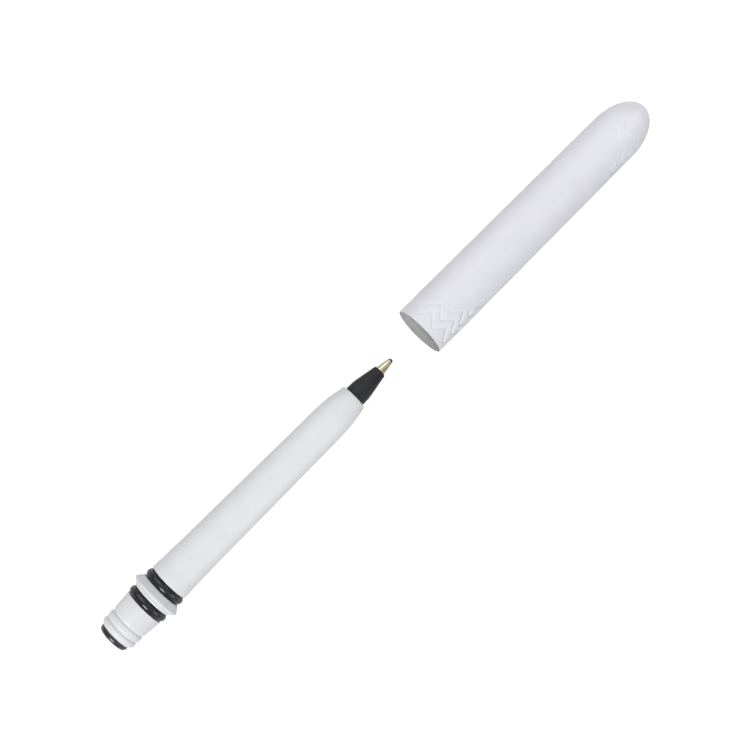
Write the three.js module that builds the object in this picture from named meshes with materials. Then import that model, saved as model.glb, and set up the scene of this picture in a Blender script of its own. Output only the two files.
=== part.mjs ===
import * as THREE from "three";

// Pocket pen with its cap pulled off, lying along X on a flat surface at z = 0.
// The pen points to +X. The cap lies in line in front of the point, with its mouth towards the pen.
// A collar near the rear of the pen stops the cap, closed over the point or posted on the rear stub,
// and a rubber ring on each side of the collar seals the cap in those two places.
// Sizes are millimetres. A station is a distance along the pen from its rear end.

// Sides of the turned pieces. A flat side lies underneath.
const bodySides = 32;
const refillSides = 20;
const arcSteps = 4;

// Clearances
const pressGap = 0.05; // radial, between pieces pushed together to stay
const seatGap = 0.05; // along the pen, between faces that rest on each other
const stopGap = 0.1; // along the pen, between the collar and the mouth of the closed cap
const sealGap = 0.1; // radial, between a rubber ring and the cap
const ballGap = 0.04; // round the writing ball, where the ink flows

// Rear plug
const plugHeadLength = 1.25;
const plugHeadRadius = 3.65;
const plugEdge = 0.9;
const plugStemLength = 5;
const plugStemRadius = 2.8;
const plugWall = 1;

// Rear stub of the barrel, with its two snap grooves
const stubLength = 8.25;
const stubEndRadius = 3.75;
const stubChamfer = 0.6;
const stubRadius = 4.42;
const stubRootRadius = 4.7;
const snapGrooves = 2;
const snapGrooveStart = 1.35; // from the rear face of the barrel
const snapGroovePitch = 1.8;
const snapGrooveWidth = 0.9;
const snapGrooveDepth = 0.25;

// Rubber rings and their grooves
const ringSection = 2;
const ringInside = 6;
const ringGrooveWidth = 2.1;
const ringSteps = 10;

// Collar between the two rings
const collarFootRadius = 4.85;
const collarFootLength = 0.35;
const collarRearSlope = 0.75;
const collarCrestRadius = 5.95;
const collarCrestLength = 0.35;
const collarFrontSlope = 1.37;
const collarFrontRadius = 4.8;

// Tube of the barrel, from the front ring to the nose
const tubeLength = 56.1;
const landRadius = 4.72;
const landLength = 1.65;
const landSlope = 1.2;
const tubeRearRadius = 4.58;
const tubeFrontRadius = 4.16;
const shoulderLength = 5.3;
const shoulderRound = 1.1;
const barrelEndRadius = 3.2;
const barrelEdge = 0.18;
const boreRadius = 2.15;

// Nose cone that holds the point
const noseRadius = 2.55;
const noseLength = 8.1;
const noseStraight = 2.4;
const noseFrontRadius = 1.5;
const noseEdge = 0.1;
const spigotLength = 9;
const noseStep = 2.8; // length of the narrow bore at the front

// Ballpoint
const ballRadius = 0.5;
const ballOut = 0.25; // how far the ball stands out of its lip
const pointRadius = 1.15;
const pointCone = 2.6;
const pointKneeRadius = 0.76;
const lipRadius = 0.56;
const lipHold = 0.47; // mouth of the socket, narrower than the ball
const lipCrimp = 0.2;
const pointOut = 3.75; // from the nose to the end of the ball
const shankLength = 7.8; // behind the front face of the nose
const inkChannelRadius = 0.3;

// Ink tube and what fills it
const tubeRadius = 1.6;
const tubeWall = 0.4;
const inkTubeLength = 62;
const inkLength = 42;
const followerLength = 3;

// Cap
const capLength = 73.95;
const capMouthRadius = 6.32;
const capDomeRadius = 6.1;
const domeLength = 10.1;
const domeWall = 1.6;
const lipWall = 0.22;
const sealLength = 5;
const sealSlope = 2;
const capBoreRadius = 4.9;
const capBoreEndRadius = 4.75;
const capDistance = 8.75; // from the point to the mouth of the cap, pulled off

// Chevron tread moulded into the cap, all over but for a smooth panel on the upper side
const treadWaves = 8;
const sidesPerWave = 4;
const treadRows = 25;
const treadPitch = 2.72;
const treadStart = 1.35; // from the mouth to the tips of the first chevrons
const treadRise = 2.4; // from the tips of a row of chevrons to its valleys
const treadTurn = 16.875; // degrees from the top to the nearest line of tips
const treadGrooveWidth = 1.1;
const treadGrooveDepth = 0.22;
const panelStart = 7;
const panelEnd = 60.5;
const panelHalfTurn = 114; // degrees to each side of the top
const panelPower = 1.6; // an oblong, a little more pointed than an ellipse
const panelFade = 0.8;

// Stations that the pieces share
const barrelRear = plugHeadLength + seatGap;
const rearGroove = barrelRear + stubLength;
const collarRear = rearGroove + ringGrooveWidth;
const collarCrest = collarRear + collarFootLength + collarRearSlope;
const collarCrestFront = collarCrest + collarCrestLength;
const frontGroove = collarCrestFront + collarFrontSlope;
const tubeRear = frontGroove + ringGrooveWidth;
const barrelFront = tubeRear + tubeLength;
const noseFront = barrelFront + noseLength;
const pointEnd = noseFront + pointOut;
const ballCentre = pointEnd - ballRadius;
const lipFront = pointEnd - ballOut;
const capMouth = pointEnd + capDistance;
const wholeLength = capMouth + capLength;
const inkTubeFront = noseFront - noseStep - seatGap;
const inkFront = noseFront - shankLength - seatGap;
const followerFront = inkFront - inkLength - seatGap;

// Radii that one piece takes from another
const grooveFloor = ringInside / 2 - pressGap;
const plugSocketRadius = plugStemRadius + pressGap;
const noseSocketRadius = noseRadius + pressGap;
const pointBoreRadius = pointRadius + pressGap;
const tubeSocketRadius = tubeRadius + pressGap;
const tubeInside = tubeRadius - tubeWall;
const inkRadius = tubeInside - pressGap;
const sealRadius = ringInside / 2 + ringSection + sealGap;

// Depths in the cap, from its mouth. The mouth is coned like the front of the collar that it meets.
const lipInside = capMouthRadius - lipWall;
const collarSteepness = (collarCrestRadius - collarFrontRadius) / collarFrontSlope;
const mouthCone = (lipInside - sealRadius) / collarSteepness;
const sealEnd = mouthCone + sealLength;
const domeStart = capLength - domeLength;
const capSides = treadWaves * sidesPerWave;

// Height of the axis when the widest piece lies on a flat side
const capFlat = capMouthRadius * Math.cos(Math.PI / capSides);
const collarFlat = collarCrestRadius * Math.cos(Math.PI / bodySides);
const axisHeight = Math.max(capFlat, collarFlat);

// How far the cap travels from where it lies until it is closed on the collar.
const closedMouth = collarCrestFront - (lipInside - collarCrestRadius) / collarSteepness + stopGap;
console.log("cap travel", (capMouth - closedMouth).toFixed(3), "mm");

const whitePlastic = new THREE.MeshStandardMaterial({ color: 0xe4e4ea, roughness: 0.45, metalness: 0 });
const blackPlastic = new THREE.MeshStandardMaterial({ color: 0x2b2b2e, roughness: 0.4, metalness: 0 });
const blackRubber = new THREE.MeshStandardMaterial({ color: 0x222228, roughness: 0.35, metalness: 0 });
const brass = new THREE.MeshStandardMaterial({ color: 0xcfc39a, roughness: 0.25, metalness: 1 });
const carbide = new THREE.MeshStandardMaterial({ color: 0x6d6d72, roughness: 0.2, metalness: 1 });
const tubePlastic = new THREE.MeshStandardMaterial({ color: 0xeef0f0, roughness: 0.3, metalness: 0 });
const ink = new THREE.MeshStandardMaterial({ color: 0x101014, roughness: 0.2, metalness: 0 });
const grease = new THREE.MeshStandardMaterial({ color: 0xd9cf9c, roughness: 0.3, metalness: 0 });

// Turns a profile of [station, radius] points about the pen's axis, once round the piece's section from
// rear to front on the outside. Angles start at the top of the pen and go towards -Y.
function turned(profile, sides, firstAngle = Math.PI / sides) {
  const points = profile.map(([station, radius]) => new THREE.Vector2(radius, station));
  return new THREE.LatheGeometry(points, sides, firstAngle).rotateZ(-Math.PI / 2);
}

// Closes the profile of a piece with a hole through it.
function ringed(profile) {
  return [...profile, profile[0]];
}

// Quarter of an ellipse between two points of a profile. It leaves the first point square to the axis,
// and reaches the second along it.
function roundedEdge([stationA, radiusA], [stationB, radiusB], steps = arcSteps) {
  const points = [];
  for (let i = 0; i <= steps; i++) {
    const angle = (i / steps) * (Math.PI / 2);
    const station = stationA + (stationB - stationA) * (1 - Math.cos(angle));
    const radius = radiusA + (radiusB - radiusA) * Math.sin(angle);
    points.push([station, radius]);
  }
  return points;
}

function named(name, geometry, material) {
  const mesh = new THREE.Mesh(geometry, material);
  mesh.name = name;
  return mesh;
}

// Black plug that closes the rear of the barrel: a low head with a rounded edge, and a hollow stem.
function rearPlug() {
  const stemEnd = plugHeadLength + plugStemLength;
  const hollow = plugStemRadius - plugWall;
  return turned(
    [
      [0, 0],
      ...roundedEdge([0, plugHeadRadius - plugEdge], [plugEdge, plugHeadRadius]),
      [plugHeadLength, plugHeadRadius],
      [plugHeadLength, plugStemRadius],
      [stemEnd, plugStemRadius],
      [stemEnd, hollow],
      [plugHeadLength, hollow],
      [plugHeadLength, 0],
    ],
    bodySides,
  );
}

// Shallow vees round the stub.
function snapGrooveProfile() {
  const points = [];
  for (let i = 0; i < snapGrooves; i++) {
    const start = barrelRear + snapGrooveStart + i * snapGroovePitch;
    points.push([start, stubRadius]);
    points.push([start + snapGrooveWidth / 2, stubRadius - snapGrooveDepth]);
    points.push([start + snapGrooveWidth, stubRadius]);
  }
  return points;
}

// Square groove for a rubber ring.
function ringGrooveProfile(start, radiusBefore, radiusAfter) {
  return [
    [start, radiusBefore],
    [start, grooveFloor],
    [start + ringGrooveWidth, grooveFloor],
    [start + ringGrooveWidth, radiusAfter],
  ];
}

// White barrel, moulded in one piece: stub, collar, two ring grooves, tapered tube and shoulder.
function barrel() {
  const shoulder = barrelFront - shoulderLength;
  const shoulderSlope = (tubeFrontRadius - barrelEndRadius) / shoulderLength;
  const plugSocketEnd = barrelRear + plugStemLength;
  const noseSocketEnd = barrelFront - spigotLength - seatGap;
  return turned(
    ringed([
      [barrelRear, plugSocketRadius],
      [barrelRear, stubEndRadius],
      [barrelRear + stubChamfer, stubRadius],
      ...snapGrooveProfile(),
      ...ringGrooveProfile(rearGroove, stubRootRadius, collarFootRadius),
      [collarRear + collarFootLength, collarFootRadius],
      [collarCrest, collarCrestRadius],
      [collarCrestFront, collarCrestRadius],
      ...ringGrooveProfile(frontGroove, collarFrontRadius, landRadius),
      [tubeRear + landLength, landRadius],
      [tubeRear + landLength + landSlope, tubeRearRadius],
      [shoulder - shoulderRound, tubeFrontRadius],
      [shoulder, tubeFrontRadius - (shoulderSlope * shoulderRound) / 4],
      [shoulder + shoulderRound, tubeFrontRadius - shoulderSlope * shoulderRound],
      [barrelFront - barrelEdge, barrelEndRadius],
      [barrelFront, barrelEndRadius - barrelEdge],
      [barrelFront, noseSocketRadius],
      [noseSocketEnd, noseSocketRadius],
      [noseSocketEnd, boreRadius],
      [plugSocketEnd, boreRadius],
      [plugSocketEnd, plugSocketRadius],
    ]),
    bodySides,
  );
}

// Rubber ring of round section, in the middle of the groove that starts at the given station.
function sealingRing(grooveStart) {
  const sectionRadius = ringSection / 2;
  const centreRadius = ringInside / 2 + sectionRadius;
  const centre = grooveStart + ringGrooveWidth / 2;
  const profile = [];
  for (let i = 0; i < ringSteps; i++) {
    const angle = (i / ringSteps) * 2 * Math.PI;
    profile.push([centre - sectionRadius * Math.sin(angle), centreRadius - sectionRadius * Math.cos(angle)]);
  }
  return turned(ringed(profile), bodySides);
}

// Black nose: a spigot pushed into the barrel, and a cone with the bore of the point.
function noseCone() {
  const rear = barrelFront - spigotLength;
  const step = noseFront - noseStep;
  return turned(
    ringed([
      [rear, tubeSocketRadius],
      [rear, noseRadius],
      [barrelFront + noseStraight / 2, noseRadius],
      [barrelFront + noseStraight, noseRadius - noseEdge / 2],
      [noseFront - noseEdge, noseFrontRadius],
      [noseFront, noseFrontRadius - noseEdge],
      [noseFront, pointBoreRadius],
      [step, pointBoreRadius],
      [step, tubeSocketRadius],
    ]),
    bodySides,
  );
}

// Brass point: a shank bored for ink, a cone, and a lip crimped over the ball.
function pointBody() {
  const knee = noseFront + pointCone;
  const socketRadius = ballRadius + ballGap;
  return turned(
    ringed([
      [noseFront - shankLength, inkChannelRadius],
      [noseFront - shankLength, pointRadius],
      [noseFront, pointRadius],
      [knee, pointKneeRadius],
      [lipFront, lipRadius],
      [lipFront, lipHold],
      [lipFront - lipCrimp, socketRadius],
      [ballCentre - ballRadius / 2, socketRadius],
      [ballCentre - socketRadius, inkChannelRadius],
    ]),
    refillSides,
  );
}

function writingBall() {
  return new THREE.SphereGeometry(ballRadius, 16, 12).translate(ballCentre, 0, 0);
}

function inkTube() {
  const rear = inkTubeFront - inkTubeLength;
  return turned(
    ringed([
      [rear, tubeInside],
      [rear, tubeRadius],
      [inkTubeFront, tubeRadius],
      [inkTubeFront, tubeInside],
    ]),
    refillSides,
  );
}

// Length of ink or grease that fills the tube.
function tubeFilling(front, length) {
  return turned(
    [
      [front - length, 0],
      [front - length, inkRadius],
      [front, inkRadius],
      [front, 0],
    ],
    refillSides,
  );
}

// Outer radius of the smooth cap: a slight taper, then half an ellipse.
function capRadius(depth) {
  if (depth < domeStart) {
    return capMouthRadius + (capDomeRadius - capMouthRadius) * (depth / domeStart);
  }
  const share = Math.min((depth - domeStart) / domeLength, 1);
  return capDomeRadius * Math.sqrt(1 - share * share);
}

// Share of the tread's depth at a place on the cap: 0 on the smooth panel, 1 well outside it.
function treadShare(depth, angle) {
  const halfLength = (panelEnd - panelStart) / 2;
  const along = Math.abs(depth - panelStart - halfLength) / halfLength;
  const around = Math.abs(THREE.MathUtils.radToDeg(angle)) / panelHalfTurn;
  const reach = (along ** panelPower + around ** panelPower) ** (1 / panelPower);
  return THREE.MathUtils.clamp(((reach - 1) * halfLength) / panelFade, 0, 1);
}

// Outer rows of the cap, from mouth to dome. A row of the tread waves between its tips and valleys,
// and the middle row of each groove is sunk.
function capRows() {
  const rows = [{ depth: 0, wave: 0, sunk: 0 }];
  for (let i = 0; i < treadRows; i++) {
    const tips = treadStart + i * treadPitch;
    rows.push({ depth: tips - treadGrooveWidth / 2, wave: treadRise, sunk: 0 });
    rows.push({ depth: tips, wave: treadRise, sunk: treadGrooveDepth });
    rows.push({ depth: tips + treadGrooveWidth / 2, wave: treadRise, sunk: 0 });
  }
  const treadEnd = rows.at(-1).depth + treadRise;
  rows.push({ depth: (treadEnd + capLength) / 2, wave: 0, sunk: 0 });
  rows.push({ depth: capLength, wave: 0, sunk: 0 });
  return rows;
}

// White cap: a closed dome with the tread outside, and inside a coned mouth, a land for the rubber
// rings and a narrower bore.
function capShell() {
  const rows = capRows();
  const innerDome = roundedEdge([capLength - domeWall, 0], [domeStart, capBoreEndRadius], 2 * arcSteps);
  const profile = [
    ...rows.map(({ depth }) => [depth, capRadius(depth)]),
    ...innerDome,
    [sealEnd + sealSlope, capBoreRadius],
    [sealEnd, sealRadius],
    [mouthCone, sealRadius],
    [0, lipInside],
    [0, capMouthRadius],
  ];
  const firstAngle = THREE.MathUtils.degToRad(treadTurn);
  const geometry = turned(profile, capSides, firstAngle);
  const positions = geometry.getAttribute("position");
  for (let side = 0; side <= capSides; side++) {
    const angle = firstAngle + (side / capSides) * 2 * Math.PI;
    const fromTop = Math.atan2(Math.sin(angle), Math.cos(angle));
    const inWave = (side % sidesPerWave) / sidesPerWave;
    const offset = 1 - Math.abs(2 * inWave - 1);
    rows.forEach(({ depth, wave, sunk }, row) => {
      const waved = depth + wave * offset;
      const radius = capRadius(waved) - sunk * treadShare(waved, fromTop);
      const y = -radius * Math.sin(angle);
      positions.setXYZ(side * profile.length + row, waved, y, radius * Math.cos(angle));
    });
  }
  return geometry;
}

const pen = new THREE.Group();
pen.add(
  named("rear_plug", rearPlug(), blackPlastic),
  named("barrel", barrel(), whitePlastic),
  named("rear_o_ring", sealingRing(rearGroove), blackRubber),
  named("front_o_ring", sealingRing(frontGroove), blackRubber),
  named("nose_cone", noseCone(), blackPlastic),
  named("point_body", pointBody(), brass),
  named("writing_ball", writingBall(), carbide),
  named("ink_tube", inkTube(), tubePlastic),
  named("ink_column", tubeFilling(inkFront, inkLength), ink),
  named("ink_follower", tubeFilling(followerFront, followerLength), grease),
);

const cap = new THREE.Group();
cap.position.x = capMouth;
cap.add(named("cap_shell", capShell(), whitePlastic));

const pocketPen = new THREE.Group();
pocketPen.add(pen, cap);
pocketPen.position.set(-wholeLength / 2, 0, axisHeight);

export default pocketPen;
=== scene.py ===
import math

import bmesh
import bpy
from mathutils import Matrix, Vector


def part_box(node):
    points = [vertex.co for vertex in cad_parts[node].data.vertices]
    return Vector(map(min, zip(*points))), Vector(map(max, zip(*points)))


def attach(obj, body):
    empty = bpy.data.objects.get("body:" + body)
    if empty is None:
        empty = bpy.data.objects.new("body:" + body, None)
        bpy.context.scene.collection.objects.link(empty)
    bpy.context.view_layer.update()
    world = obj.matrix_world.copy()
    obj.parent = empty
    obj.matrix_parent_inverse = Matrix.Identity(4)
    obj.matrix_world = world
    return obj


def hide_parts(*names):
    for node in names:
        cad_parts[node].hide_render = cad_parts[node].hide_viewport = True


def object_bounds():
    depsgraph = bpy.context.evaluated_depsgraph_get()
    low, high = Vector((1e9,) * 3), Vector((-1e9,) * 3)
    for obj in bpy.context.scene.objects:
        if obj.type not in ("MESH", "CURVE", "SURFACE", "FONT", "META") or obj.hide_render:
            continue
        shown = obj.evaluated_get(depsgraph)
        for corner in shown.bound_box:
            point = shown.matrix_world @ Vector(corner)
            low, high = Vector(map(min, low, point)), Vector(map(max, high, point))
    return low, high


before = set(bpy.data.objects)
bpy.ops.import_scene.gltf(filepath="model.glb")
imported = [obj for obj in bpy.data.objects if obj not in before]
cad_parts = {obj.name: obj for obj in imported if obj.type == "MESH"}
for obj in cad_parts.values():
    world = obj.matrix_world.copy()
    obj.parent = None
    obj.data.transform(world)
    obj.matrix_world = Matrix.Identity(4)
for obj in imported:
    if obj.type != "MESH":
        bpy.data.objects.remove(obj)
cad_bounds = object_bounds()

# Barrel. One white polypropylene moulding that everything else is pushed into or over: a short rear
# stub with two snap grooves, a collar with a ring groove on each side, and a long tube that tapers to
# a shoulder. Stations are millimetres from the pen's rear end, and radii are millimetres.
MM = 0.001
PEN_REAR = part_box("rear_plug")[0].x
AXIS_HEIGHT = (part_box("barrel")[0].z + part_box("barrel")[1].z) / 2
SHARP_ANGLE = math.radians(38)


def span(node):
    """The stations of a node's rear and front ends."""
    low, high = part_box(node)
    return (low.x - PEN_REAR) / MM, (high.x - PEN_REAR) / MM


def finished(name, bm, material, body, slot, *nodes):
    """The object made of a bmesh, in its material, riding on its body in place of its nodes."""
    bmesh.ops.remove_doubles(bm, verts=bm.verts, dist=0.001 * MM)
    bmesh.ops.recalc_face_normals(bm, faces=bm.faces)
    mesh = bpy.data.meshes.new(name)
    bm.to_mesh(mesh)
    bm.free()
    mesh.shade_smooth()
    mesh.set_sharp_from_angle(angle=SHARP_ANGLE)
    mesh.materials.append(material)
    piece = bpy.data.objects.new(name, mesh)
    bpy.context.scene.collection.objects.link(piece)
    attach(piece, body)
    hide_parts(*nodes)
    return piece


def turned(outline, sides=160, closed=True):
    """A bmesh turned about the pen's axis from points of station, radius and, at a corner, rounding."""
    bm = bmesh.new()
    rounded = {}
    verts = []
    for station, radius, *rounding in outline:
        vert = bm.verts.new((PEN_REAR + station * MM, 0, AXIS_HEIGHT + radius * MM))
        verts.append(vert)
        if rounding:
            rounded.setdefault(rounding[0], []).append(vert)
    for first, second in zip(verts, verts[1:] + verts[:1] if closed else verts[1:]):
        bm.edges.new((first, second))
    for offset, corners in rounded.items():
        bmesh.ops.bevel(
            bm, geom=corners, offset=offset * MM, offset_type="OFFSET", affect="VERTICES",
            segments=6, profile=0.5, material=-1,
        )
    bmesh.ops.spin(
        bm, geom=bm.verts[:] + bm.edges[:], cent=(0, 0, AXIS_HEIGHT), axis=(1, 0, 0),
        angle=2 * math.pi, steps=sides, use_merge=True,
    )
    return bm


def new_group(name, inputs, outputs):
    """An empty node group with float inputs (name: default) and outputs (name: socket type)."""
    group = bpy.data.node_groups.new(name, "ShaderNodeTree")
    for socket, default in inputs.items():
        made = group.interface.new_socket(socket, in_out="INPUT", socket_type="NodeSocketFloat")
        made.default_value = default
    for socket, kind in outputs.items():
        group.interface.new_socket(socket, in_out="OUTPUT", socket_type=kind)
    return group, group.nodes.new("NodeGroupInput"), group.nodes.new("NodeGroupOutput")


def moulded_skin():
    """Skin of a moulding: a fine grain, a slow waviness where the wall shrank, and uneven gloss."""
    group, given, result = new_group(
        "moulded_skin",
        {"Grain": 9000.0, "Grain height": 0.1, "Gloss": 0.35, "Gloss spread": 0.1},
        {"Roughness": "NodeSocketFloat", "Normal": "NodeSocketVector", "Mottle": "NodeSocketFloat"},
    )
    nodes, links = group.nodes, group.links
    place = nodes.new("ShaderNodeTexCoord")
    grain = nodes.new("ShaderNodeTexNoise")
    grain.inputs["Detail"].default_value = 3.0
    slow = nodes.new("ShaderNodeTexNoise")
    slow.inputs["Scale"].default_value = 260.0
    slow.inputs["Detail"].default_value = 2.0
    for noise in (grain, slow):
        links.new(place.outputs["Object"], noise.inputs["Vector"])
    links.new(given.outputs["Grain"], grain.inputs["Scale"])
    ripple = nodes.new("ShaderNodeBump")
    ripple.inputs["Strength"].default_value = 0.06
    ripple.inputs["Distance"].default_value = 0.4 * MM
    links.new(slow.outputs["Fac"], ripple.inputs["Height"])
    pits = nodes.new("ShaderNodeBump")
    pits.inputs["Distance"].default_value = 0.02 * MM
    links.new(given.outputs["Grain height"], pits.inputs["Strength"])
    links.new(grain.outputs["Fac"], pits.inputs["Height"])
    links.new(ripple.outputs["Normal"], pits.inputs["Normal"])
    spread = nodes.new("ShaderNodeMath")
    spread.operation = "MULTIPLY_ADD"
    centred = nodes.new("ShaderNodeMath")
    centred.operation = "SUBTRACT"
    centred.inputs[1].default_value = 0.5
    links.new(slow.outputs["Fac"], centred.inputs[0])
    links.new(centred.outputs["Value"], spread.inputs[0])
    links.new(given.outputs["Gloss spread"], spread.inputs[1])
    links.new(given.outputs["Gloss"], spread.inputs[2])
    links.new(spread.outputs["Value"], result.inputs["Roughness"])
    links.new(pits.outputs["Normal"], result.inputs["Normal"])
    links.new(slow.outputs["Fac"], result.inputs["Mottle"])
    return group


MOULDED_SKIN = moulded_skin()


def smooth_finish(name, light, dark, specular=0.5, drift=(0.3, 0.7), **skin):
    """A plastic, rubber or grease whose colour drifts a little between two shades."""
    material = bpy.data.materials.new(name)
    material.use_nodes = True
    nodes, links = material.node_tree.nodes, material.node_tree.links
    shader = nodes["Principled BSDF"]
    shader.inputs["Specular IOR Level"].default_value = specular
    surface = nodes.new("ShaderNodeGroup")
    surface.node_tree = MOULDED_SKIN
    for socket, value in skin.items():
        surface.inputs[socket.replace("_", " ").capitalize()].default_value = value
    shades = nodes.new("ShaderNodeValToRGB")
    for element, position, shade in zip(shades.color_ramp.elements, drift, (dark, light)):
        element.position = position
        element.color = (*shade, 1)
    links.new(surface.outputs["Mottle"], shades.inputs["Fac"])
    links.new(shades.outputs["Color"], shader.inputs["Base Color"])
    links.new(surface.outputs["Roughness"], shader.inputs["Roughness"])
    links.new(surface.outputs["Normal"], shader.inputs["Normal"])
    return material


barrel_white = smooth_finish(
    "barrel_white", light=(0.575, 0.581, 0.598), dark=(0.55, 0.556, 0.573),
    gloss=0.46, gloss_spread=0.1, grain=9000.0, grain_height=0.12,
)

barrel_rear, barrel_front = span("barrel")
plug_socket = 2.85
plug_socket_depth = 5.0
stub_end = 3.75
stub_chamfer = 0.6
stub_radius = 4.42
stub_flare = 4.7
snap_start = 1.35
snap_pitch = 1.8
snap_depth = 0.32
snap_width = 0.9
ring_groove = 2.1
groove_floor = 2.95
collar_foot = 0.35
collar_foot_radius = 4.85
collar_rear_slope = 0.75
collar_front_slope = 1.37
collar_front_radius = 4.8
collar_crest = 5.95
land_radius = 4.72
land_length = 1.65
land_slope = 1.2
tube_rear_radius = 4.58
shoulder_length = 5.3
shoulder_radius = 4.16
barrel_front_radius = 3.22
nose_socket = 2.6
nose_socket_depth = 9.05
bore = 2.15
rear_groove = sum(span("rear_o_ring")) / 2 - ring_groove / 2
collar_rear = rear_groove + ring_groove
front_groove = sum(span("front_o_ring")) / 2 - ring_groove / 2
tube_rear = front_groove + ring_groove
shoulder = barrel_front - shoulder_length

snaps = []
for start in (barrel_rear + snap_start, barrel_rear + snap_start + snap_pitch):
    snaps += [
        (start, stub_radius, 0.16),
        (start + snap_width / 2, stub_radius - snap_depth, 0.12),
        (start + snap_width, stub_radius, 0.16),
    ]

finished(
    "barrel_moulding",
    turned([
        (barrel_rear, plug_socket, 0.1),
        (barrel_rear, stub_end, 0.12),
        (barrel_rear + stub_chamfer, stub_radius, 0.4),
        *snaps,
        (rear_groove, stub_flare, 0.12),
        (rear_groove, groove_floor, 0.1),
        (collar_rear, groove_floor, 0.1),
        (collar_rear, collar_foot_radius, 0.22),
        (collar_rear + collar_foot, collar_foot_radius, 0.1),
        (collar_rear + collar_foot + collar_rear_slope, collar_crest, 0.14),
        (front_groove - collar_front_slope, collar_crest, 0.14),
        (front_groove, collar_front_radius, 0.1),
        (front_groove, groove_floor, 0.1),
        (tube_rear, groove_floor, 0.1),
        (tube_rear, land_radius, 0.3),
        (tube_rear + land_length, land_radius, 0.5),
        (tube_rear + land_length + land_slope, tube_rear_radius, 0.5),
        (shoulder, shoulder_radius, 2.2),
        (barrel_front, barrel_front_radius, 0.3),
        (barrel_front, nose_socket, 0.08),
        (barrel_front - nose_socket_depth, nose_socket),
        (barrel_front - nose_socket_depth, bore),
        (barrel_rear + plug_socket_depth, bore),
        (barrel_rear + plug_socket_depth, plug_socket),
    ]),
    barrel_white, "pen", "barrel_plastic", "barrel",
)

# Rear plug. A glossy black moulding with a low round head, slightly dished, pushed into the rear of
# the barrel by its hollow stem.
plug_black = smooth_finish(
    "plug_black", light=(0.014, 0.014, 0.018), dark=(0.010, 0.010, 0.013), specular=0.75,
    gloss=0.27, gloss_spread=0.08, grain=7000.0, grain_height=0.05,
)
plug_head = 1.25
plug_edge = 3.65
plug_stem = 2.8
plug_hollow = 1.8
plug_front = span("rear_plug")[1]
dish_depth = 0.12
dish_floor = 1.2
dish_edge = 2.2

finished(
    "rear_plug_moulding",
    turned([
        (dish_depth, 0),
        (dish_depth * 0.8, dish_floor, 0.4),
        (0, dish_edge, 0.4),
        (0, plug_edge, 0.88),
        (plug_head, plug_edge, 0.08),
        (plug_head, plug_stem, 0.05),
        (plug_front, plug_stem, 0.25),
        (plug_front, plug_hollow, 0.1),
        (plug_head, plug_hollow),
        (plug_head, 0),
    ], closed=False),
    plug_black, "pen", "plug_plastic", "rear_plug",
)

# Sealing rings. Two black rubber rings of round section, 6 mm inside and 2 mm thick, rolled into the
# grooves beside the collar. They are smooth, with the soft gloss of a greased seal.
RING_SECTION = 1.0
RING_CENTRE = 4.0

ring_rubber = smooth_finish(
    "ring_rubber", light=(0.014, 0.0125, 0.017), dark=(0.008, 0.0075, 0.011), specular=0.4, drift=(0, 1),
    gloss=0.2, gloss_spread=0.1, grain=5000.0, grain_height=0.25,
)


def sealing_ring(name, node):
    """A rubber ring in place of its node, from one circle turned about the pen's axis."""
    centre = sum(span(node)) / 2
    bm = bmesh.new()
    bmesh.ops.create_circle(bm, segments=40, radius=RING_SECTION * MM)
    at = Vector((PEN_REAR + centre * MM, 0, AXIS_HEIGHT + RING_CENTRE * MM))
    turn = Matrix.Rotation(math.radians(90), 4, "X")
    bmesh.ops.transform(bm, matrix=Matrix.Translation(at) @ turn, verts=bm.verts)
    bmesh.ops.spin(
        bm, geom=bm.verts[:] + bm.edges[:], cent=(0, 0, AXIS_HEIGHT), axis=(1, 0, 0),
        angle=2 * math.pi, steps=160, use_merge=True,
    )
    finished(name, bm, ring_rubber, "pen", "ring_rubber", node)


sealing_ring("rear_sealing_ring", "rear_o_ring")
sealing_ring("front_sealing_ring", "front_o_ring")

# Ink tube. A drawn length of clear polypropylene behind the point, with the black ink in it and a
# short plug of grease that follows the ink down.
TUBE_RADIUS = 1.6
TUBE_BORE = 1.2
FILL_RADIUS = 1.15

tube_clear = smooth_finish(
    "tube_clear", light=(0.86, 0.87, 0.87), dark=(0.80, 0.81, 0.82),
    gloss=0.25, gloss_spread=0.05, grain=4000.0, grain_height=0.05,
)
ink_black = smooth_finish(
    "ink_black", light=(0.008, 0.008, 0.012), dark=(0.004, 0.004, 0.007),
    gloss=0.15, gloss_spread=0.05, grain=2000.0, grain_height=0.02,
)
follower_grease = smooth_finish(
    "follower_grease", light=(0.72, 0.66, 0.36), dark=(0.66, 0.59, 0.30),
    gloss=0.2, gloss_spread=0.05, grain=2000.0, grain_height=0.02,
)

ink_tube_rear, ink_tube_front = span("ink_tube")
finished(
    "ink_tube_drawn",
    turned([
        (ink_tube_rear, TUBE_BORE, 0.05),
        (ink_tube_rear, TUBE_RADIUS, 0.1),
        (ink_tube_front, TUBE_RADIUS, 0.1),
        (ink_tube_front, TUBE_BORE, 0.05),
    ], sides=96),
    tube_clear, "pen", "tube_plastic", "ink_tube",
)


def filling(name, node, material, slot):
    """A length of ink or grease that fills the tube's bore."""
    rear, front = span(node)
    outline = [(rear, 0), (rear, FILL_RADIUS, 0.2), (front, FILL_RADIUS, 0.2), (front, 0)]
    finished(name, turned(outline, sides=64, closed=False), material, "pen", slot, node)


filling("ink_in_tube", "ink_column", ink_black, "ink")
filling("grease_in_tube", "ink_follower", follower_grease, "follower_grease")

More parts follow.
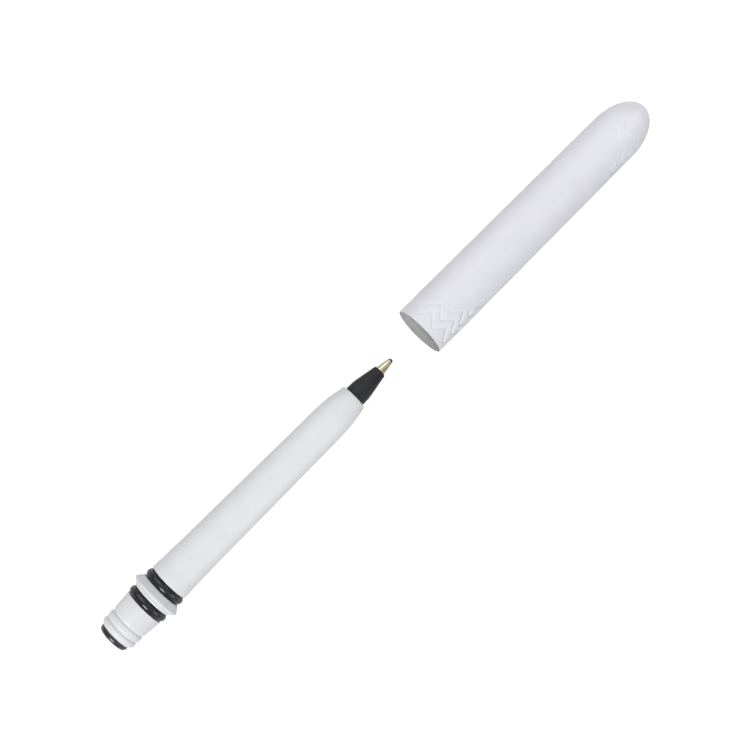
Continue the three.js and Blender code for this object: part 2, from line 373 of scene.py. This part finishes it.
# Nose cone. A fine matt black moulding: its spigot is pushed into the barrel, and its cone holds the
# point. The first third of it is nearly straight.
nose_black = smooth_finish(
    "nose_black", light=(0.019, 0.020, 0.022), dark=(0.014, 0.015, 0.017), specular=0.2,
    gloss=0.46, gloss_spread=0.1, grain=8000.0, grain_height=0.3,
)
nose_rear, nose_front = span("nose_cone")
spigot_radius = 2.55
waist_start = 1.2
waist_end = 2.4
waist_radius = 2.5
nose_tip = 1.5
shank_hole = 1.2
shank_hole_depth = 2.8
tube_hole = 1.65

finished(
    "nose_moulding",
    turned([
        (nose_rear, tube_hole, 0.1),
        (nose_rear, spigot_radius, 0.3),
        (barrel_front + waist_start, spigot_radius, 0.8),
        (barrel_front + waist_end, waist_radius, 0.9),
        (nose_front, nose_tip, 0.12),
        (nose_front, shank_hole, 0.05),
        (nose_front - shank_hole_depth, shank_hole),
        (nose_front - shank_hole_depth, tube_hole),
    ]),
    nose_black, "pen", "nose_plastic", "nose_cone",
)

# Point. Turned from pale brass rod, with fine rings left by the tool, then crimped over the ball so
# that the lip holds it. The last half millimetre before the lip is darkened nearly to black.
def turned_brass(lip_x):
    """Pale brass with tool rings and a little tarnish, darkened nearly to black up to a lip at this X.
    """
    material = bpy.data.materials.new("turned_brass")
    material.use_nodes = True
    nodes, links = material.node_tree.nodes, material.node_tree.links
    shader = nodes["Principled BSDF"]
    shader.inputs["Metallic"].default_value = 1.0
    place = nodes.new("ShaderNodeTexCoord")
    stretch = nodes.new("ShaderNodeMapping")
    stretch.inputs["Scale"].default_value = (9000.0, 60.0, 60.0)
    rings = nodes.new("ShaderNodeTexNoise")
    rings.inputs["Scale"].default_value = 1.0
    rings.inputs["Detail"].default_value = 4.0
    tarnish = nodes.new("ShaderNodeTexNoise")
    tarnish.inputs["Scale"].default_value = 700.0
    shades = nodes.new("ShaderNodeValToRGB")
    shades.color_ramp.elements[0].position = 0.35
    shades.color_ramp.elements[0].color = (0.48, 0.43, 0.31, 1)
    shades.color_ramp.elements[1].position = 0.65
    shades.color_ramp.elements[1].color = (0.60, 0.54, 0.39, 1)
    gloss = nodes.new("ShaderNodeMapRange")
    gloss.inputs["To Min"].default_value = 0.2
    gloss.inputs["To Max"].default_value = 0.42
    marks = nodes.new("ShaderNodeBump")
    marks.inputs["Strength"].default_value = 0.25
    marks.inputs["Distance"].default_value = 0.01 * MM
    links.new(place.outputs["Object"], stretch.inputs["Vector"])
    links.new(stretch.outputs["Vector"], rings.inputs["Vector"])
    links.new(place.outputs["Object"], tarnish.inputs["Vector"])
    links.new(tarnish.outputs["Fac"], shades.inputs["Fac"])
    split = nodes.new("ShaderNodeSeparateXYZ")
    # Darkens the brass nearly to black over the last half millimetre before the lip.
    lip_darkening = nodes.new("ShaderNodeMapRange")
    lip_darkening.inputs["From Min"].default_value = lip_x - 0.55 * MM
    lip_darkening.inputs["From Max"].default_value = lip_x - 0.1 * MM
    lip_darkening.inputs["To Max"].default_value = 0.92
    dark_blend = nodes.new("ShaderNodeMix")
    dark_blend.data_type = "RGBA"
    dark_blend.inputs["B"].default_value = (0.03, 0.03, 0.035, 1)
    links.new(place.outputs["Object"], split.inputs["Vector"])
    links.new(split.outputs["X"], lip_darkening.inputs["Value"])
    links.new(lip_darkening.outputs["Result"], dark_blend.inputs["Factor"])
    links.new(shades.outputs["Color"], dark_blend.inputs["A"])
    links.new(dark_blend.outputs["Result"], shader.inputs["Base Color"])
    links.new(rings.outputs["Fac"], gloss.inputs["Value"])
    links.new(gloss.outputs["Result"], shader.inputs["Roughness"])
    links.new(rings.outputs["Fac"], marks.inputs["Height"])
    links.new(marks.outputs["Normal"], shader.inputs["Normal"])
    return material


BALL_RADIUS = 0.5
point_rear, point_front = span("point_body")
ball_centre = sum(span("writing_ball")) / 2
point_knee = nose_front + 2.6
channel_radius = 0.3
shank_radius = 1.15
knee_radius = 0.76
lip_radius = 0.56
lip_opening = 0.47
lip_length = 0.2
socket_radius = 0.54

finished(
    "point_turned",
    turned([
        (point_rear, channel_radius, 0.05),
        (point_rear, shank_radius, 0.15),
        (nose_front, shank_radius, 0.1),
        (point_knee, knee_radius, 0.12),
        (point_front, lip_radius, 0.06),
        (point_front, lip_opening, 0.02),
        (point_front - lip_length, socket_radius),
        (ball_centre - BALL_RADIUS / 2, socket_radius),
        (ball_centre - socket_radius, channel_radius),
    ], sides=128),
    turned_brass(PEN_REAR + point_front * MM), "pen", "point_brass", "point_body",
)

# Writing ball. Polished carbide, 1 mm across, wet with ink where it has turned in its socket.
def inked_carbide():
    """Grey polished carbide where the film of ink has rubbed off, and wet black where it hasn't."""
    material = bpy.data.materials.new("inked_carbide")
    material.use_nodes = True
    nodes, links = material.node_tree.nodes, material.node_tree.links
    shader = nodes["Principled BSDF"]
    place = nodes.new("ShaderNodeTexCoord")
    film = nodes.new("ShaderNodeTexNoise")
    film.inputs["Scale"].default_value = 2600.0
    film.inputs["Detail"].default_value = 3.0
    dark_blend = nodes.new("ShaderNodeValToRGB")
    dark_blend.color_ramp.elements[0].position = 0.5
    dark_blend.color_ramp.elements[0].color = (0.012, 0.012, 0.016, 1)
    dark_blend.color_ramp.elements[1].position = 0.72
    dark_blend.color_ramp.elements[1].color = (0.20, 0.20, 0.22, 1)
    bare = nodes.new("ShaderNodeMapRange")
    bare.inputs["From Min"].default_value = 0.5
    bare.inputs["From Max"].default_value = 0.72
    links.new(place.outputs["Object"], film.inputs["Vector"])
    links.new(film.outputs["Fac"], dark_blend.inputs["Fac"])
    links.new(film.outputs["Fac"], bare.inputs["Value"])
    links.new(dark_blend.outputs["Color"], shader.inputs["Base Color"])
    links.new(bare.outputs["Result"], shader.inputs["Metallic"])
    shader.inputs["Roughness"].default_value = 0.18
    return material


ball = bmesh.new()
bmesh.ops.create_uvsphere(ball, u_segments=48, v_segments=32, radius=BALL_RADIUS * MM)
bmesh.ops.translate(ball, verts=ball.verts, vec=(PEN_REAR + ball_centre * MM, 0, AXIS_HEIGHT))
finished("writing_ball_polished", ball, inked_carbide(), "ball", "ball_carbide", "writing_ball")

# Cap. A white moulding with a long round dome, pulled off and lying in line with the pen. Chevron
# grooves run round it for grip, shallower on its left and on the dome, with a smooth rounded panel
# on its upper side. Inside are a coned mouth, a land for the rings, and a narrower bore.
cap_white = smooth_finish(
    "cap_white", light=(0.58, 0.58, 0.618), dark=(0.555, 0.555, 0.593),
    gloss=0.44, gloss_spread=0.1, grain=9000.0, grain_height=0.14,
)
# The cap's inside: a mid grey painted as the shade in its mouth.
cap_inside_painted_shade = smooth_finish(
    "cap_inside_painted_shade", light=(0.295, 0.29, 0.30), dark=(0.275, 0.27, 0.28), specular=0.2,
    gloss=0.6, gloss_spread=0.1, grain=5000.0, grain_height=0.2,
)
cap_mouth, cap_end = span("cap_shell")
mouth_x = PEN_REAR + cap_mouth * MM
cap_length = cap_end - cap_mouth
mouth_radius = (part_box("cap_shell")[1].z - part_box("cap_shell")[0].z) / 2 / MM
dome_radius = 6.1
dome_length = 10.1
dome_start = cap_length - dome_length
dome_wall = 1.6
lip_inside = 6.1
seal_radius = 5.1
mouth_cone = 1.27
seal_end = 6.27
seal_slope = 2.0
bore_rear = 4.9
bore_front = 4.75
shade_start = 0.8
shade_end = 6.0

# The cap's inside is painted grey at the mouth as shade, and painted lighter deeper in as the light the
# wall lets in.
core_nodes, core_links = cap_inside_painted_shade.node_tree.nodes, cap_inside_painted_shade.node_tree.links
core_colour = core_nodes["Principled BSDF"].inputs["Base Color"]
mouth_painted_shade = core_colour.links[0].from_socket
inside = core_nodes.new("ShaderNodeTexCoord")
inside_split = core_nodes.new("ShaderNodeSeparateXYZ")
inside_depth = core_nodes.new("ShaderNodeMapRange")
inside_depth.inputs["From Min"].default_value = mouth_x + shade_start * MM
inside_depth.inputs["From Max"].default_value = mouth_x + shade_end * MM
deep_painted_light = core_nodes.new("ShaderNodeMix")
deep_painted_light.data_type = "RGBA"
deep_painted_light.inputs["B"].default_value = (0.85, 0.845, 0.86, 1)
core_links.new(inside.outputs["Object"], inside_split.inputs["Vector"])
core_links.new(inside_split.outputs["X"], inside_depth.inputs["Value"])
core_links.new(inside_depth.outputs["Result"], deep_painted_light.inputs["Factor"])
core_links.new(mouth_painted_shade, deep_painted_light.inputs["A"])
core_links.new(deep_painted_light.outputs["Result"], core_colour)

tread_waves = 8
tread_rows = 25
tread_pitch = 2.72
tread_start = 1.35
tread_rise = 2.4
tread_turn = math.radians(13.2)
tread_crispness = 0.985
groove_width = 1.1
groove_depth = 0.22
tread_lean = 0.42
dome_calm = 0.4
calm_length = 8.0
groove_steps = 6
panel_start = 7.0
panel_end = 60.5
panel_half_turn = math.radians(114)
panel_power = 1.6
panel_fade = 0.8
lip_rows = (0.0, 0.12, 0.5)
crown_steps = 10
dome_steps = 16
cap_sides = 256
skin_tolerance = 0.002
pole_radius = 0.01


def cap_radius(depth):
    """Radius of the smooth cap at a depth from its mouth: a slight taper, then half an ellipse."""
    if depth < dome_start:
        return mouth_radius + (dome_radius - mouth_radius) * depth / dome_start
    share = min((depth - dome_start) / dome_length, 1)
    return dome_radius * math.sqrt(1 - share * share)


def tread_wave(angle):
    """How far a place round the cap is from the chevrons' tips, 0, to their valleys, 1."""
    swing = math.asin(tread_crispness * math.cos(tread_waves * (angle - tread_turn)))
    return 0.5 - 0.5 * swing / math.asin(tread_crispness)


def tread_share(depth, angle):
    """Share of the tread's depth at a place: 0 on the smooth panel, most on the right side, 1."""
    half = (panel_end - panel_start) / 2
    along = abs(depth - panel_start - half) / half
    around = abs(math.remainder(angle, 2 * math.pi)) / panel_half_turn
    reach = (along**panel_power + around**panel_power) ** (1 / panel_power)
    fade = min(max((reach - 1) * half / panel_fade, 0), 1)
    lean = 1 - tread_lean + tread_lean * math.sin(angle)
    calm = 1 - dome_calm * min(max((depth - panel_end) / calm_length + 0.5, 0), 1)
    return fade * fade * (3 - 2 * fade) * lean * calm


def groove_section(depth):
    """Depth of the tread's grooves at an unwaved depth: a rounded vee every pitch."""
    row = min(max(round((depth - tread_start) / tread_pitch), 0), tread_rows - 1)
    off = abs(depth - tread_start - row * tread_pitch) / (groove_width / 2)
    return groove_depth * (0.5 + 0.5 * math.cos(math.pi * off)) if off < 1 else 0


row_depths = [*lip_rows]
for row in range(tread_rows):
    tips = tread_start + row * tread_pitch
    for step in range(groove_steps + 1):
        row_depths.append(tips + groove_width * (step / groove_steps - 0.5))
    row_depths.append(tips + groove_width / 2 + (tread_pitch - groove_width) / 2)
row_depths.pop()
tread_end = row_depths[-1]
for step in range(1, crown_steps + 1):
    row_depths.append(tread_end + (cap_length - tread_end) * math.sin(step / crown_steps * math.pi / 2))

inner_dome = []
for step in range(dome_steps + 1):
    angle = step / dome_steps * math.pi / 2
    depth = dome_start + (dome_length - dome_wall) * math.cos(angle)
    inner_dome.append((cap_mouth + depth, bore_front * math.sin(angle)))

cap = turned([
    *[(cap_mouth + depth, cap_radius(depth)) for depth in row_depths],
    *inner_dome,
    (cap_mouth + seal_end + seal_slope, bore_rear, 0.4),
    (cap_mouth + seal_end, seal_radius, 0.4),
    (cap_mouth + mouth_cone, seal_radius, 0.15),
    (cap_mouth, lip_inside, 0.05),
], sides=cap_sides)

# Each row of the outer skin is waved into chevrons, and sunk where a groove runs.
for vert in cap.verts:
    depth = (vert.co.x - mouth_x) / MM
    across = Vector((vert.co.y, vert.co.z - AXIS_HEIGHT))
    radius = across.length / MM
    if abs(radius - cap_radius(max(depth, 0))) > skin_tolerance or radius < pole_radius:
        continue
    angle = math.atan2(-across.x, across.y)
    ease_in = min(depth / (tread_start - groove_width / 2), 1)
    ease_out = min(max((cap_length - depth) / (cap_length - tread_end), 0), 1)
    waved = depth + tread_rise * tread_wave(angle) * ease_in * ease_out
    sunk = groove_section(depth) * tread_share(waved, angle)
    across *= (cap_radius(waved) - sunk) * MM / across.length
    vert.co = (mouth_x + waved * MM, across.x, AXIS_HEIGHT + across.y)
cap_piece = finished("cap_moulding", cap, cap_white, "cap", "cap_plastic", "cap_shell")

# Faces that look inwards, or back from the dome's inner end, are the cap's inside, which takes the
# painted shade and light of its own material.
cap_piece.data.materials.append(cap_inside_painted_shade)
for face in cap_piece.data.polygons:
    outwards = Vector((0, face.center.y, face.center.z - AXIS_HEIGHT))
    if face.normal.dot(outwards) < 0 or outwards.length < seal_radius * MM and face.normal.x < -0.5:
        face.material_index = 1

# Table top. A wide, pale, matt surface that the pen lies on. To the camera alone it glows faintly, a
# painted light that fades the pen's soft shadows on it, and it throws less light back on the pen's sides
# than it shows, so the round forms keep their shade.
table_half = 2.0
table_material = bpy.data.materials.new("pale_table")
table_material.use_nodes = True
table_nodes, table_links = table_material.node_tree.nodes, table_material.node_tree.links
table_shader = table_nodes["Principled BSDF"]
table_shader.inputs["Roughness"].default_value = 0.9
table_light_path = table_nodes.new("ShaderNodeLightPath")
table_colour = table_nodes.new("ShaderNodeMix")
table_colour.data_type = "RGBA"
table_colour.inputs["A"].default_value = (0.6, 0.6, 0.605, 1)
table_colour.inputs["B"].default_value = (1.0, 1.0, 1.0, 1)
table_shader.inputs["Emission Color"].default_value = (1.0, 1.0, 1.0, 1)
# Painted glow, seen by the camera only.
table_glow = table_nodes.new("ShaderNodeMath")
table_glow.operation = "MULTIPLY"
table_glow.inputs[1].default_value = 0.25
table_links.new(table_light_path.outputs["Is Camera Ray"], table_colour.inputs["Factor"])
table_links.new(table_light_path.outputs["Is Camera Ray"], table_glow.inputs[0])
table_links.new(table_glow.outputs["Value"], table_shader.inputs["Emission Strength"])
table_links.new(table_colour.outputs["Result"], table_shader.inputs["Base Color"])
table_mesh = bpy.data.meshes.new("table")
table_bm = bmesh.new()
bmesh.ops.create_grid(table_bm, x_segments=1, y_segments=1, size=table_half)
table_bm.to_mesh(table_mesh)
table_bm.free()
table_mesh.materials.append(table_material)
table = bpy.data.objects.new("table", table_mesh)
bpy.context.scene.collection.objects.link(table)

# Light. A dim pale tent, with a plain backdrop. Two large soft lights hang above, one over the pen and
# one to its left, and a smaller one stands behind its rear end. Three weak ones fill the right of the
# barrel and the end of the dome.
world = bpy.data.worlds.new("room")
world.use_nodes = True
room_nodes, room_links = world.node_tree.nodes, world.node_tree.links
room = room_nodes["Background"]
room.inputs["Color"].default_value = (0.98, 0.985, 1.0, 1)
towards = room_nodes.new("ShaderNodeTexCoord")
split = room_nodes.new("ShaderNodeSeparateXYZ")
glow = room_nodes.new("ShaderNodeMapRange")
glow.inputs["To Min"].default_value = 0.3
glow.inputs["To Max"].default_value = 0.21
backdrop = room_nodes.new("ShaderNodeMix")
backdrop.inputs["B"].default_value = 0.75
room_path = room_nodes.new("ShaderNodeLightPath")
room_links.new(towards.outputs["Generated"], split.inputs["Vector"])
room_links.new(split.outputs["Z"], glow.inputs["Value"])
room_links.new(glow.outputs["Result"], backdrop.inputs["A"])
room_links.new(room_path.outputs["Is Camera Ray"], backdrop.inputs["Factor"])
room_links.new(backdrop.outputs["Result"], room.inputs["Strength"])
bpy.context.scene.world = world


def soft_light(name, place, aim, size, power):
    """A round lamp that faces a point: metres across and watts."""
    lamp = bpy.data.lights.new(name, "AREA")
    lamp.shape = "DISK"
    lamp.size = size
    lamp.energy = power
    light = bpy.data.objects.new(name, lamp)
    light.location = place
    light.rotation_euler = (Vector(aim) - Vector(place)).to_track_quat("-Z", "Y").to_euler()
    light.visible_camera = False
    bpy.context.scene.collection.objects.link(light)


soft_light("overhead", place=(0.2, 0, 0.7), aim=(0.04, 0, 0), size=1.4, power=2.8)
soft_light("high_left", place=(0.2, 0.6, 0.55), aim=(0.04, 0, 0), size=0.9, power=3.5)
soft_light("rear", place=(-1.02, -0.06, 0.74), aim=(-0.05, 0, 0), size=0.5, power=11.5)
soft_light("right", place=(-0.12, -0.25, 0.15), aim=(-0.04, 0, 0), size=0.3, power=0.14)
soft_light("right_front", place=(-0.03, -0.16, 0.08), aim=(-0.03, 0, 0), size=0.1, power=0.08)
soft_light("front", place=(0.17, -0.02, 0.06), aim=(0.083, 0, 0.004), size=0.06, power=0.038)

bpy.context.scene.view_settings.view_transform = "Standard"

# Camera. It looks down on the pen, leaning a little over its rear end, turned so that the pen runs
# from the lower left to the upper right.
view_distance = 0.256
view_lean = math.radians(7.6)
aim_back = 4.2
aim_left = 0.18
middle = (cad_bounds[0][0] + cad_bounds[1][0]) / 2
view_centre = Vector((middle - aim_back * MM, aim_left * MM, AXIS_HEIGHT))
along = Vector((math.cos(view_lean), 0, math.sin(view_lean)))
side = Vector((0, 1, 0))
back = along.cross(side)
right = (along - side).normalized()
up = (along + side).normalized()
camera_data = bpy.data.cameras.new("camera")
camera_data.sensor_width = 36
camera_data.lens = 55.9
camera = bpy.data.objects.new("camera", camera_data)
camera.matrix_world = Matrix.Translation(view_centre + back * view_distance) @ Matrix(
    (right, up, back)
).transposed().to_4x4()
bpy.context.scene.collection.objects.link(camera)
bpy.context.scene.camera = camera
